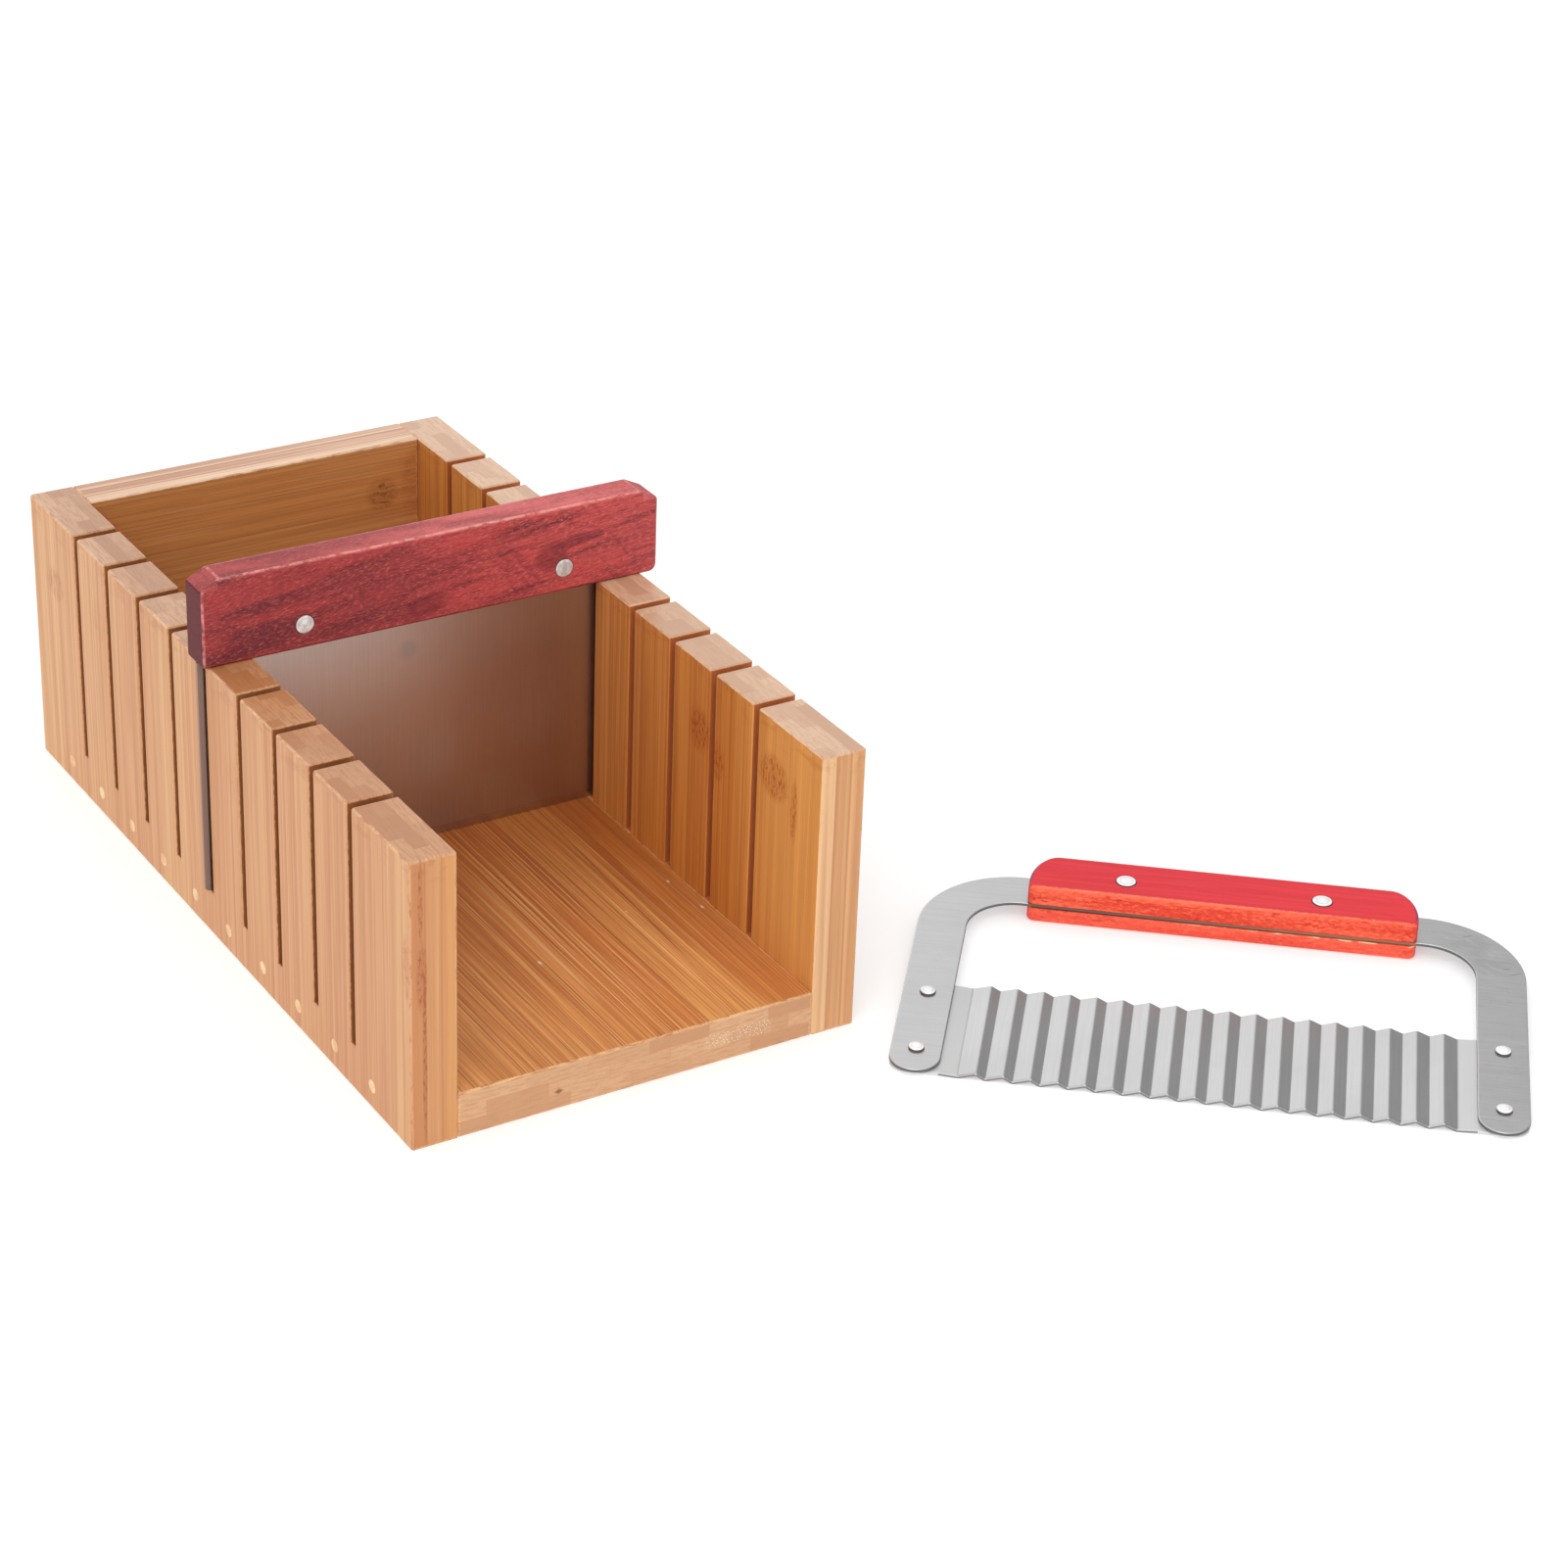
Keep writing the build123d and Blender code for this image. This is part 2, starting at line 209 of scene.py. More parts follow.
def fill(shader, **inputs):
    """Values and wires for the shader's sockets, named with _ for a space."""
    for name, value in inputs.items():
        socket = shader.inputs[name.replace("_", " ")]
        if isinstance(value, Wire):
            value.tree.links.new(value.socket, socket)
        else:
            socket.default_value = value


def bump(height, distance, strength):
    """A Normal wire from a height of 0 to 1 that stands for a distance in millimetres."""
    return add_node(height.tree, "ShaderNodeBump", None,
                    {"Strength": strength, "Distance": distance * mm, "Height": height})


# %% [markdown]
# ## Camera
# The photograph looks down at the set from the front left. Its camera was worked out from the
# box's corners: a long lens, a little over a metre away, and turned 2.3 degrees about its own
# axis. The three rows below are its right, down and forward directions.

# %% Place the camera
camera_right = Vector((0.854659, -0.517943, 0.035939))
camera_down = Vector((-0.217797, -0.420502, -0.880763))
camera_forward = Vector((0.471297, 0.744923, -0.472193))
camera_place = Vector((-491.49, -990.65, 629.24)) * mm
focal_pixels = 3994.36
frame_pixels = 1601
camera_data = bpy.data.cameras.new("camera")
camera_data.sensor_width = 36
camera_data.lens = focal_pixels * camera_data.sensor_width / frame_pixels
camera_data.clip_start = 0.01
camera = bpy.data.objects.new("camera", camera_data)
turned = Matrix((camera_right, -camera_down, -camera_forward)).transposed().normalized()
camera.matrix_world = Matrix.Translation(camera_place) @ turned.to_4x4()
bpy.context.collection.objects.link(camera)
bpy.context.scene.camera = camera
print("lens", round(camera_data.lens, 2), "mm")

# %% [markdown]
# ## Bamboo boards
# Bamboo board is glued up from slats about 20 mm wide and 5 mm thick, in three layers. Each
# slat has its own tone, fine fibres along it, and about every 300 mm a node, where the stem had
# a joint: a mottled darker band. Cut ends show the slats as bricks with dots.
# One function builds this as a solid pattern in space, so that faces, ends and saw slots agree.

# %% Sizes of the box that its finishes need
box_width, box_length, box_height = 150.0, 280.0, 95.0
board_thickness = 15.0
slot_pitch, slot_kerf, slot_count = 25.4, 3.2, 9
slat_width, layer_thickness, slat_shift = 20.5, 5.0, 7.3
node_spacing = 310.0
seam_slope, seam_across = 0.037, 40.6
half_width, half_length = box_width / 2, box_length / 2
inner_half = half_width - board_thickness
slots_reach = slot_pitch * slot_count / 2


# %% The bamboo recipe
def bamboo(name, axes, limits, seed, *, light, middle, dark, pale, knot, end_light, end_dark, streak, glue,
           fine_scale, thread_scale, thread_depth, broad_share, node_depth=0.0, end_gloss=0.0, inner_side=0,
           inner=(), burnt=None, lip=None, far_painted_shade=None, tops_painted_shade=None, layers=(), flakes=(), marks=(),
           rough_bricks=(), end_knots=(), specks=()):
    """Bamboo whose grain, slats and layers run along three axes, such as "zyx".

    limits are the board's faces, low and high, in the order of axes. A wall has saw slots and an
    inner_side, -1 on the left and 1 on the right, and inner has the colours of its inner face,
    which are painted shade: the same wood made deeper and darker orange for the box's inside.
    marks are nodes at set places: along, across, half length, half width and depth of tone.
    """
    material, tree, shader = new_finish(name)
    x, y, z = in_millimetres(tree)
    along, across, through = ({"x": x, "y": y, "z": z}[axis] for axis in axes)
    (end_low, end_high), (edge_low, edge_high), (face_low, face_high) = limits
    layer_place = (through - face_low) / layer_thickness
    layer = layer_place.math("FLOOR").between(0.0, 2.0)
    slat_place = (across + layer * slat_shift + seed) / slat_width
    slat = slat_place.math("FLOOR")
    tone = dice(slat, layer, seed)
    other_tone = dice(slat, layer, seed + 5)

    fine = noise(across, through, along * 0.014, scale=fine_scale, roughness=0.6)
    broad = noise(across, through + tone * 40, along * 0.006, scale=0.26, detail=2.0)
    thread = noise(across + tone * 9, through * 0.6, along * 0.004, scale=thread_scale, detail=2.5,
                   roughness=0.6)
    fibre = (fine * (1 - broad_share) + broad * broad_share).step(0.38, 0.62)
    threads = thread_depth * (0.5 + other_tone)

    def grained(light, middle, dark, pale):
        return coat(mix(tone, light, middle), (fibre * streak, dark),
                    (thread.step(0.54, 0.63) * threads, dark), (thread.step(0.46, 0.37) * threads, pale))

    wood = grained(light, middle, dark, pale)
    node_tone = knot
    # The inner face is painted shade: the same wood in a deeper, darker orange with darker orange nodes, made
    # paler towards the box's open front as painted light.
    if inner_side:
        inside = (through * inner_side).step(inner_half + 1.2, inner_half + 0.5)
        wood = coat(wood, (inside, grained(*inner)), (inside * across.step(-80.0, -125.0) * 0.45, inner[3]))
        node_tone = mix(inside, knot, (158, 72, 20))

    layer_edge = to_joint(layer_place, layer_thickness)
    within = (through > face_low + 1) * (through < face_high - 1)
    joint = to_joint(slat_place, slat_width).step(0.3, 0.05) | layer_edge.step(0.3, 0.1) * within
    wood = mix(joint * glue, wood, dark)
    # Painted shade on the floor: the wood is darkened from the open front towards the middle and back of the
    # box. Then a seam, and dust along its rims.
    if far_painted_shade:
        wood = mix(along.step(-120.0, 0.0), wood, far_painted_shade, "MULTIPLY")
        seam = abs(across - along * seam_slope - seam_across).step(0.45, 0.15) * along.step(-108.0, -90.0)
        dust = noise(along * 0.4, across, through, scale=0.7, detail=2.0).step(0.3, 0.6)
        rim = abs(across).step(inner_half - 0.8, inner_half - 0.3)
        wood = coat(wood, (seam * 0.6, knot), (rim * dust * 0.5, (214, 172, 142)))

    mottle = noise(across, through, along * 0.3, scale=1.3, roughness=0.65).step(0.47, 0.62)
    node_gap = abs((along / node_spacing + other_tone).math("FRACT") - 0.5) * node_spacing
    node = node_gap.step(6.0, 1.0) * mottle * (tone > 0.6) * node_depth
    for *mark, depth in marks:
        node = node | oval(along, across, *mark).step(1.0, 0.2) * (mottle * 0.75 + 0.25) * depth
    wood = mix(node, wood, node_tone)

    if layers:
        first, second, third = layers
        layered = coat(mix(layer > 1.5, mix(layer > 0.5, first, second), third),
                       (fibre * 0.35 + broad.step(0.45, 0.65) * 0.25, dark),
                       (layer_edge.step(0.5, 0.12) * within * 0.55, dark))
        for flake in flakes:
            out = oval(along, through, *flake)
            layered = mix(out.step(1.0, 0.2) * (mottle * 0.65 + 0.35) * 0.9, layered, knot)
        half_span = (edge_high - edge_low) / 2
        edge = abs(across - (edge_low + edge_high) / 2).step(half_span - 0.5, half_span - 0.4)
        wood = mix(edge, wood, layered)

    cut_end = along.step(end_high - 0.5, end_high - 0.4) | along.step(end_low + 0.5, end_low + 0.4)
    dots = noise(across, through, along * 0.2, scale=1.7, detail=2.0).step(0.5, 0.72)
    strip = noise(across * 0.15, through * 1.2, along * 0.2, detail=4.0, roughness=0.65)
    end_wood = coat(mix(tone.step(0.2, 1.0) * 0.85, end_light, end_dark),
                    (dots * 0.25 + strip.step(0.45, 0.62) * 0.6, end_dark), (joint * 0.15, middle))
    # Painted shade: the end grain of the tops in front of the straight bar is made a deeper orange, where the
    # bar keeps the light from behind off them.
    if tops_painted_shade:
        end_wood = mix(across.step(8.0, -6.0) * 0.32, end_wood, tops_painted_shade)
    for spot_across, spot_through, half_run, half_rise in rough_bricks:
        glitter = noise(across, through, along, scale=2.4, detail=1.0).step(0.56, 0.66)
        brick = abs(across - spot_across).step(half_run, half_run - 1.2) \
            * abs(through - spot_through).step(half_rise, half_rise - 0.6)
        end_wood = mix(brick * glitter * 0.8, end_wood, (246, 226, 200))
    for spot_across, spot_through in end_knots:
        out = (abs(across - spot_across) * 0.6 + abs(through - spot_through)).step(1.3, 0.5)
        end_wood = mix(out * 0.8, end_wood, knot)
    wood = mix(cut_end, wood, end_wood)

    gaps = [((place - low) & (high - place)) | 0.0
            for place, (low, high) in zip((along, across, through), limits)]
    height = fine * 0.5 + fibre * 0.3 + thread * 0.2 - joint * 0.5
    if inner_side:
        slot_gap = abs(y / slot_pitch - (y / slot_pitch).math("ROUND")) * slot_pitch
        sawn = (abs(y) < slots_reach) * (z > board_thickness - 0.1)
        fray = noise(x * 1.5, y * 1.5, z * 0.5)
        mouth = abs(slot_gap - slot_kerf / 2) + (gaps[0] & gaps[2])
        frayed = mouth.step(1.0, 0.4) * sawn * fray.step(0.4, 0.6) * (1 - inside)
        kerf = slot_gap.step(slot_kerf / 2 + 0.12, slot_kerf / 2 + 0.02) * sawn
        smear = noise(y * 0.1, z * 0.3, x * 0.3).step(0.5, 0.68)
        wood = coat(wood, (z.step(box_height - 11.0, box_height) * smear * (1 - cut_end) * 0.3, knot),
                    (kerf * (0.75 + 0.25 * fray), burnt), (frayed * 0.45, lip))
        height = height + kerf * fray
    # Painted highlight: along the board's edges the wood is made paler in patches, and darker in others.
    arris = (gaps[0] + gaps[1] + gaps[2] - (gaps[0] | gaps[1] | gaps[2])).step(1.0, 0.35)
    wood = mix(arris * fine.step(0.3, 0.6) * 0.55, wood, mix(strip.step(0.5, 0.6), pale, dark))
    for place_along, place_across, size in specks:
        speck = (abs(along - place_along) * 0.4 + abs(across - place_across)).step(size, size * 0.4)
        wood = mix(speck * 0.7, wood, (236, 212, 190))
    fill(shader, Base_Color=wood, Roughness=0.44 + fine * 0.12 - cut_end * 0.08, Specular_IOR_Level=0.4,
         Coat_Weight=cut_end * end_gloss, Coat_Roughness=0.32, Normal=bump(height, 0.1, 0.5))
    return material


# %% [markdown]
# The side walls stand with their grain upright, and their slats are about as wide as the space
# between two saw slots. Outside they are pale. Inside, the same wood is painted a deeper, darker
# orange as painted shade, and paler towards the open front as painted light. Their narrow front
# edges show the three layers, each in its own tone.
# The floor board has its grain along the box and stronger streaks, and the back board has it
# across. The floor is painted darker from the open front towards the middle and back of the box,
# a painted shade. Nodes that stand out on the real boards are given their places here.

# %% Finish the four boards
def dress(node, finish):
    """Puts a finish in every material slot of a CAD node."""
    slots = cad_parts[node].material_slots
    for slot in slots:
        slot.material = finish


wall_looks = dict(
    light=(211, 163, 113), middle=(198, 142, 99), dark=(177, 114, 73), pale=(222, 176, 132),
    knot=(156, 80, 40), lip=(216, 160, 108),
    # the inner colours are painted shade: the walls' wood made deeper and darker for the box's inside
    inner=((218, 146, 72), (206, 130, 56), (164, 86, 32), (228, 168, 96)),
    streak=0.58, glue=0.25, node_depth=0.12, fine_scale=0.9, thread_scale=1.5, thread_depth=0.3,
    broad_share=0.45, end_gloss=0.6)
upright, lengthwise = (0.0, box_height), (-half_length, half_length)
back_face = half_length - board_thickness
dress("left_wall", bamboo(
    "bamboo_left_wall", "zyx", (upright, lengthwise, (-half_width, -inner_half)), 3.0, inner_side=-1,
    # the deeper orange on the tops in front of the bar is painted shade
    **wall_looks, end_light=(202, 154, 114), end_dark=(164, 108, 66), tops_painted_shade=(182, 112, 50),
    burnt=(132, 74, 38), layers=((198, 134, 84), (212, 156, 103), (206, 146, 90)),
    flakes=[(57.0, -71.2, 14.0, 2.1), (30.0, -70.5, 34.0, 0.9), (82.0, -71.6, 16.0, 1.0)],
    marks=[(60.0, -138.0, 13.0, 3.5, 0.5), (70.5, 121.0, 7.0, 8.0, 0.5), (72.0, 84.0, 9.0, 6.0, 0.2),
           (64.0, -20.0, 8.0, 6.0, 0.18)]))
dress("right_wall", bamboo(
    "bamboo_right_wall", "zyx", (upright, lengthwise, (inner_half, half_width)), 11.0, inner_side=1,
    **wall_looks, end_light=(216, 177, 144), end_dark=(192, 147, 115), burnt=(172, 90, 44),
    layers=((229, 184, 137), (211, 158, 109), (218, 164, 114)),
    marks=[(72.0, -69.0, 9.0, 7.5, 1.0), (66.0, -80.0, 8.0, 5.0, 0.8), (76.0, -113.0, 9.0, 10.0, 0.85),
           (70.0, -125.0, 13.0, 2.5, 0.8)]))
dress("floor_board", bamboo(
    "bamboo_floor", "yxz", ((-half_length, back_face), (-inner_half, inner_half), (0.0, board_thickness)),
    23.0, light=(224, 158, 90), middle=(208, 132, 68), dark=(156, 82, 36), pale=(240, 190, 130),
    # the floor's darkening colour is painted shade
    knot=(120, 66, 36), end_light=(208, 162, 122), end_dark=(188, 136, 96), far_painted_shade=(0.61, 0.45, 0.25, 1),
    streak=0.55, glue=0.5, fine_scale=1.7, thread_scale=2.0, thread_depth=0.65, broad_share=0.33,
    rough_bricks=[(34.0, 8.0, 12.0, 2.6)], end_knots=[(-27.0, 6.0)],
    specks=[(-86.0, -4.6, 0.8), (-60.5, 55.0, 0.6), (-79.5, 56.5, 0.7), (-71.0, 34.0, 0.4)]))
dress("back_board", bamboo(
    "bamboo_back", "xzy", ((-inner_half, inner_half), upright, (back_face, half_length)), 31.0,
    light=(216, 152, 92), middle=(206, 138, 76), dark=(156, 94, 48), pale=(234, 192, 142),
    knot=(140, 82, 40), end_light=(212, 168, 134), end_dark=(186, 136, 100), streak=0.42, glue=0.2,
    fine_scale=1.5, thread_scale=1.8, thread_depth=0.28, broad_share=0.3,
    layers=((232, 198, 170), (228, 190, 164), (230, 194, 170)),
    marks=[(46.0, 77.0, 7.0, 7.0, 0.95), (57.0, 78.0, 4.0, 15.0, 0.35)]))

# %% [markdown]
# ## Turning trees into meshes
# A geometry tree runs as a modifier. The helper below makes the modifier, sets its inputs by
# their identifiers before anything is evaluated, bakes the outcome into a plain mesh and takes
# the modifier away, so that the piece holds nothing live.


# %% Helpers for pieces
def new_piece(name, mesh, material=None):
    piece = bpy.data.objects.new(name, mesh)
    bpy.context.collection.objects.link(piece)
    if material:
        mesh.materials.append(material)
    return piece


def settle(piece):
    """Bakes a piece's modifiers into its mesh. The last one leaves the shading to the large faces."""
    weighting = piece.modifiers.new("weighting", "WEIGHTED_NORMAL")
    weighting.keep_sharp = True
    graph = bpy.context.evaluated_depsgraph_get()
    mesh = bpy.data.meshes.new_from_object(piece.evaluated_get(graph), depsgraph=graph)
    piece.modifiers.clear()
    piece.data = mesh
    print(piece.name, "faces:", len(mesh.polygons))
    return piece


def round_edges(piece, width, angle):
    """Rounds every edge that is sharper than an angle, in degrees, by a width in millimetres."""
    piece.data.polygons.foreach_set("use_smooth", [True] * len(piece.data.polygons))
    rounding = piece.modifiers.new("rounding", "BEVEL")
    rounding.width, rounding.segments = width * mm, 3
    rounding.limit_method, rounding.angle_limit = "ANGLE", radians(angle)
    return settle(piece)


def grow(name, tree, start, values):
    """A piece grown by a geometry tree from a start mesh, with the tree's inputs by name."""
    piece = new_piece(name, start)
    modifier = piece.modifiers.new("grow", "NODES")
    modifier.node_group = tree
    for item in tree.interface.items_tree:
        if item.item_type == "SOCKET" and item.in_out == "INPUT" and item.name in values:
            modifier[item.identifier] = values[item.name]
    return settle(piece)


def geometry_tree(name, inputs):
    """An empty tree with Geometry in and out and inputs of given types, and a wire for each of them."""
    tree = bpy.data.node_groups.new(name, "GeometryNodeTree")
    kinds = {float: "NodeSocketFloat", int: "NodeSocketInt", bpy.types.Material: "NodeSocketMaterial"}
    tree.interface.new_socket("Geometry", in_out="INPUT", socket_type="NodeSocketGeometry")
    for title, kind in inputs.items():
        tree.interface.new_socket(title, in_out="INPUT", socket_type=kinds[kind])
    tree.interface.new_socket("Geometry", in_out="OUTPUT", socket_type="NodeSocketGeometry")
    entry = tree.nodes.new("NodeGroupInput")
    return tree, {socket.name: Wire(socket) for socket in entry.outputs if socket.name}


def end_tree(tree, geometry, material):
    """The tree's last nodes: instances made real, the material set, and the way out."""
    real = add_node(tree, "GeometryNodeRealizeInstances", None, {"Geometry": geometry})
    smooth = add_node(tree, "GeometryNodeSetShadeSmooth", None, {"Geometry": real, "Shade Smooth": True})
    dressed = add_node(tree, "GeometryNodeSetMaterial", None, {"Geometry": smooth, "Material": material})
    add_node(tree, "NodeGroupOutput", None, {0: dressed})


# %% [markdown]
# ## Heads for rivets and pins
# Every round head here is the same idea: a profile turned about an axis. The tree bends a flat
# grid into that shape: one way round the axis, the other way along the profile. The seam and
# both poles are merged. A head is then set on each point, turned to the way the point faces.
# Each head also keeps how far out a spot is, from 0 in the middle to 1 at the rim, so that a
# finish can draw rings on it.

# %% A tree that sets turned heads on points
heads_tree, heads = geometry_tree("turned_heads", {
    "Radius": float, "Rise": float, "Sink": float, "Roundness": float, "Sides": int,
    "Material": bpy.types.Material})
node = partial(add_node, heads_tree)
rings, round_sides = 9, 40
index = node("GeometryNodeInputIndex")
station = (index / (rings + 2)).math("FLOOR")
ring = index - station * (rings + 2)
angle = station / heads["Sides"] * (2 * pi)
lift = ((ring - 2) / (rings - 1) | 0.0) * (pi / 2)
reach = lift.math("COSINE") * (ring > 0.5)
height = (lift.math("SINE").math("POWER", heads["Roundness"]) * heads["Rise"]) * (ring > 1.5) \
    - heads["Sink"] * (ring < 1.5)
grid = node("GeometryNodeMeshGrid", None, {"Vertices X": heads["Sides"] + 1, "Vertices Y": rings + 2})
turned_grid = node("GeometryNodeSetPosition", None, {
    "Geometry": grid, "Position": vector(angle.math("COSINE") * reach * heads["Radius"],
                                         angle.math("SINE") * reach * heads["Radius"], height)})
marked = node("GeometryNodeStoreNamedAttribute", {"data_type": "FLOAT", "domain": "POINT"},
              {"Geometry": turned_grid, "Name": "out_share", "Value": reach})
head = node("GeometryNodeMergeByDistance", None, {"Geometry": marked, "Distance": 1e-6})
facing = node("GeometryNodeInputNamedAttribute", {"data_type": "FLOAT_VECTOR"}, {"Name": "facing"})
aligned = node("FunctionNodeAlignRotationToVector", {"axis": "Z"}, {"Vector": facing})
planted = node("GeometryNodeInstanceOnPoints", None,
               {"Points": heads["Geometry"], "Instance": head, "Rotation": aligned})
end_tree(heads_tree, planted, heads["Material"])
print("heads tree nodes:", len(heads_tree.nodes))


# %% Points to set heads on
def head_points(name, places):
    """A mesh of loose points, each with the way that its head faces. places are pairs of vectors."""
    mesh = bpy.data.meshes.new(name)
    mesh.from_pydata([tuple(place) for place, _ in places], [], [])
    way = mesh.attributes.new("facing", "FLOAT_VECTOR", "POINT")
    way.data.foreach_set("vector", [v for _, direction in places for v in direction])
    return mesh


def set_heads(name, places, body, nodes, material, radius, rise, sink, roundness):
    """Turned heads on points, in millimetres, that stand for CAD nodes and ride on a body."""
    piece = grow(name, heads_tree, head_points(name, places), {
        "Radius": radius * mm, "Rise": rise * mm, "Sink": sink * mm, "Roundness": roundness,
        "Sides": round_sides, "Material": material})
    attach(piece, body)
    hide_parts(*nodes)


def out_share(tree):
    """How far out on its head a point is, from 0 in the middle to 1 at the rim."""
    return add_node(tree, "ShaderNodeAttribute", {"attribute_name": "out_share"}, output="Fac")


# %% [markdown]
# ## Dowel pins
# Ten cream pins go through each wall into the edge of the floor board. They were glued in,
# sawn off and sanded flush, so only their pale ends show, with a darker ring of glue.

# %% Finish and set the pins
pin_finish, tree, shader = new_finish("cream_pin")
out = out_share(tree)
x, y, z = in_millimetres(tree)
speckle = noise(x, y, z, scale=1.4)
which = noise(x, y, z, scale=0.16, detail=1.0)
cream = coat(mix(speckle.step(0.35, 0.7), (238, 212, 170), (220, 180, 134)),
             (which.step(0.4, 0.62) * 0.6, (206, 152, 108)),
             (out.step(0.84, 0.97) * 0.8, (204, 150, 104)))
fill(shader, Base_Color=cream, Roughness=0.55 + speckle * 0.1, Specular_IOR_Level=0.3,
     Normal=bump(speckle, 0.1, 0.4))
pin_level = board_thickness / 2
pin_places = [slot_pitch * (n - slot_count / 2) for n in range(slot_count + 1)]
for side, side_name in ((-1, "left"), (1, "right")):
    ends = [(Vector((side * half_width, place, pin_level)) * mm, Vector((side, 0, 0)))
            for place in pin_places]
    set_heads(side_name + "_pin_ends", ends, "box", [side_name + "_wall_dowels"], pin_finish,
              radius=2.25, rise=0.03, sink=1.0, roundness=0.4)

# %% [markdown]
# ## Wooden handles
# Both handles were sawn, eased along their edges and stained red. The CAD solid has flat
# eased edges with hard corners, as a drawing has. Wood is softer than that: each hard edge is
# rounded here with a bevel on a copy of the solid, whose loose triangles are merged first.


# %% A softened copy of a CAD node
def softened(node, name, material, width, body):
    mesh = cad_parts[node].data.copy()
    mesh.materials.clear()
    work = bmesh.new()
    work.from_mesh(mesh)
    bmesh.ops.remove_doubles(work, verts=work.verts, dist=0.005 * mm)
    bmesh.ops.dissolve_limit(work, angle_limit=radians(1.0), verts=work.verts, edges=work.edges)
    work.to_mesh(mesh)
    work.free()
    piece = new_piece(name, mesh, material)
    round_edges(piece, width, 25)
    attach(piece, body)
    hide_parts(node)


# %% [markdown]
# The straight cutter's bar is a dark red wood: crimson, with darker streaks that wander along
# it, short pale flecks where pores were cut open, and paler pink edges where hands have worn
# the stain away. Its sawn ends drink more stain and are a dark purple brown.

# %% Finish the straight bar
bar_middle, bar_length, bar_top, bar_half = 1.7, 157.5, 124.0, 6.0
bar_end = bar_length / 2
blade_middle = 0.9
grain_slope = 0.11
bar_finish, tree, shader = new_finish("dark_red_wood")
x, y, z = in_millimetres(tree)
end_reach = abs(x - bar_middle)
rising = z - x * grain_slope
figure = noise(x * 0.03, y * 0.12, rising * 0.12, distortion=0.6)
streak = noise(x * 0.035, y * 0.4, rising * 0.5, scale=0.7, roughness=0.6)
fibre = noise(x * 0.45, y * 1.7, rising * 1.8, scale=1.25, roughness=0.7)
pore = noise(x * 0.3 + 40, y * 1.5, rising * 1.9, scale=1.1, detail=2.0, roughness=0.6)
ripple = noise(x * 0.28 + rising * 0.2, y * 0.1, rising * 0.05, detail=1.0)
vivid = (x + noise(x * 0.04, y * 0.1, rising * 0.1, detail=2.0) * 60).step(-30.0, 75.0)
red = coat(mix(figure.step(0.36, 0.64), (108, 38, 46), (156, 54, 56)),
           (vivid * streak.step(0.3, 0.6) * 0.8, (208, 80, 78)),
           (streak.step(0.52, 0.72) * 0.55, (98, 32, 44)),
           (vivid * ripple.step(0.52, 0.68) * 0.35, (104, 34, 44)),
           (fibre.step(0.48, 0.68) * (0.5 + vivid * 0.25), (208, 108, 98)),
           (pore.step(0.5, 0.66) * 0.38, (90, 28, 40)))
for patch_x, patch_z, *halves in ((42.0, 108.0, 6.5, 5.5), (-1.5, 100.5, 8.0, 4.0), (52.0, 112.0, 10.0, 2.0)):
    out = oval(x, rising + patch_x * grain_slope, patch_x, patch_z, *halves)
    red = mix(out.step(1.1, 0.5) * (y < blade_middle) * 0.45, red, (104, 30, 42))
top_side = z.step(bar_top - 0.9, bar_top - 0.2)
slope = end_reach.step(bar_end - 6.0, bar_end - 5.2) * z.step(bar_top - 3.6, bar_top - 3.0)
dull_rose, pale_rose = mix(vivid, (152, 66, 67), (192, 98, 98)), mix(vivid, (192, 88, 85), (230, 130, 129))
rose = mix((fibre + figure).step(0.85, 1.15), dull_rose, pale_rose)
end_side = end_reach.step(bar_end - 0.45, bar_end - 0.3)
depth = bar_half - abs(y - blade_middle)
rubbed = noise(x * 0.5, y, z * 0.5, scale=0.7, roughness=0.65).step(0.34, 0.62)
top_line = abs(depth - 0.85).step(0.75, 0.2) * z.step(bar_top - 0.7, bar_top - 0.2)
end_line = abs(depth - 0.35).step(0.45, 0.15) * end_reach.step(bar_end - 1.3, bar_end - 0.8)
facet_line = abs(end_reach - bar_end + 6.6).step(0.7, 0.2) * top_side
wear = top_line | end_line * 0.7 | facet_line * 0.7
far_rim = top_side * (y - blade_middle).step(bar_half - 1.6, bar_half - 0.9)
red = coat(red, ((top_side | slope) * 0.5, rose),
           (end_side, mix(fibre.step(0.4, 0.65), (72, 6, 14), (108, 22, 28))),
           (end_side * depth.step(1.1, 0.5) * 0.35, (132, 84, 112)),
           (wear * rubbed * 0.85, (224, 150, 138)),
           (far_rim * 0.6, (170, 108, 138)))
fill(shader, Base_Color=red, Roughness=0.5 + fibre * 0.2, Specular_IOR_Level=0.28,
     Normal=bump(fibre * 0.5 + streak * 0.3 - pore.step(0.52, 0.66) * 0.4, 0.12, 0.5))
softened("straight_handle", "straight_bar", bar_finish, 0.55, "straight_cutter")

# %% [markdown]
# ## Steel
# The straight blade is a plain plate with upright scratches, so fine that they only soften its
# reflections a little. It takes most of its brown from the bamboo around it, so the finish itself
# is a plain grey with faint clouds and a few thumb marks. Only its ends, which sit in the wall
# slots, are painted a brownish grey: painted shade and a painted reflection of the wood there.


